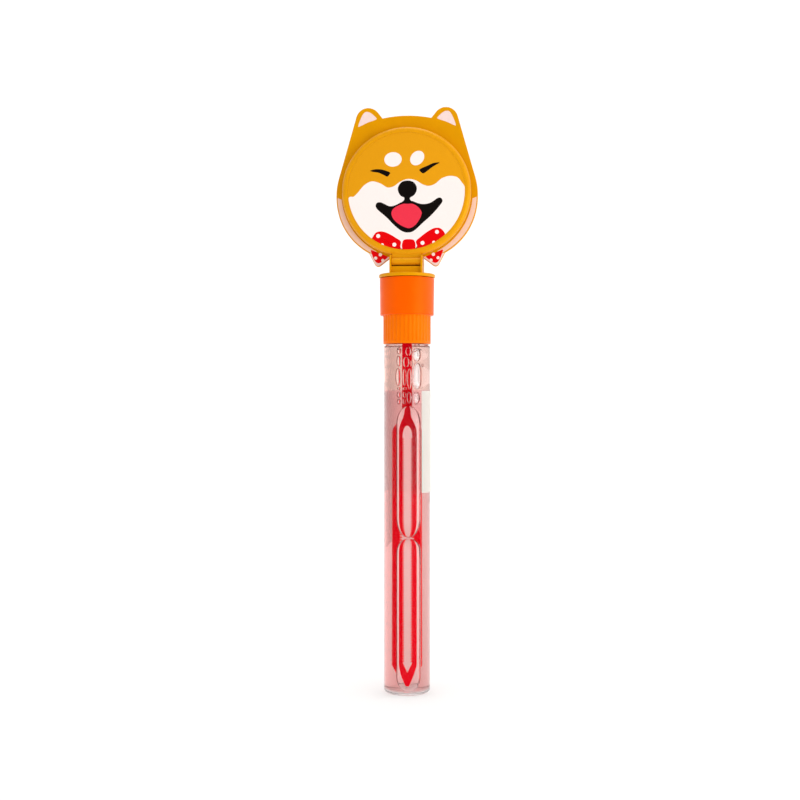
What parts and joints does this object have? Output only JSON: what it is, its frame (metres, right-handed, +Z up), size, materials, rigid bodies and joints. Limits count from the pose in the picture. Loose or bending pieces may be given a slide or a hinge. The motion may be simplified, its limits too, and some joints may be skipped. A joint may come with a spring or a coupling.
{
  "type": "bubble stick with dog-head clapper",
  "caption": "Clear tube of bubble solution with a toothed loop wand under its screw cap, topped by a flat dog-head hand clapper whose hinged round leaves clap against the head.",
  "frame": {"origin": "centre of the tube's flat base, on the surface the toy stands on", "axes": "+Z up along the tube, -Y the way the dog's face looks, +X to the right of someone facing the face"},
  "size_m": [0.0904, 0.0358, 0.3721],
  "materials": {
    "clear_tube": "gloss",
    "clear_film": "gloss",
    "bubble_solution": "gloss",
    "liner": "matte",
    "cap_orange": "satin",
    "wand_red": "gloss",
    "head_mustard": "satin",
    "leaf_mustard": "satin",
    "pin_steel": "satin",
    "face_card": "satin"
  },
  "bodies": {
    "bottle": {"tube": "clear_tube", "label_film": "clear_film", "bubble_solution": "bubble_solution"},
    "liner": {"cap_seal": "liner"},
    "cap": {"screw_cap": "cap_orange", "cap_collar": "cap_orange", "bubble_wand": "wand_red", "head_plate": "head_mustard", "front_hinge_pin": "pin_steel", "rear_hinge_pin": "pin_steel"},
    "front_leaf": {"front_clapper": "leaf_mustard", "face_card": "face_card"},
    "rear_leaf": {"rear_clapper": "leaf_mustard"}
  },
  "joints": [
    {"name": "wand_lift", "type": "slide", "parent": "bottle", "child": "liner", "axis": [0, 0, 1], "range_m": [0, 0.24]},
    {"name": "cap_turn", "type": "hinge", "parent": "liner", "child": "cap", "pos_m": [0, 0, 0.2384], "axis": [0, 0, 1], "range_deg": [0, 540]},
    {"name": "front_clap", "type": "hinge", "parent": "cap", "child": "front_leaf", "pos_m": [0, -0.008, 0.2731], "axis": [1, 0, 0], "range_deg": [0, 90]},
    {"name": "rear_clap", "type": "hinge", "parent": "cap", "child": "rear_leaf", "pos_m": [0, 0.008, 0.2731], "axis": [-1, 0, 0], "range_deg": [0, 90]}
  ]
}
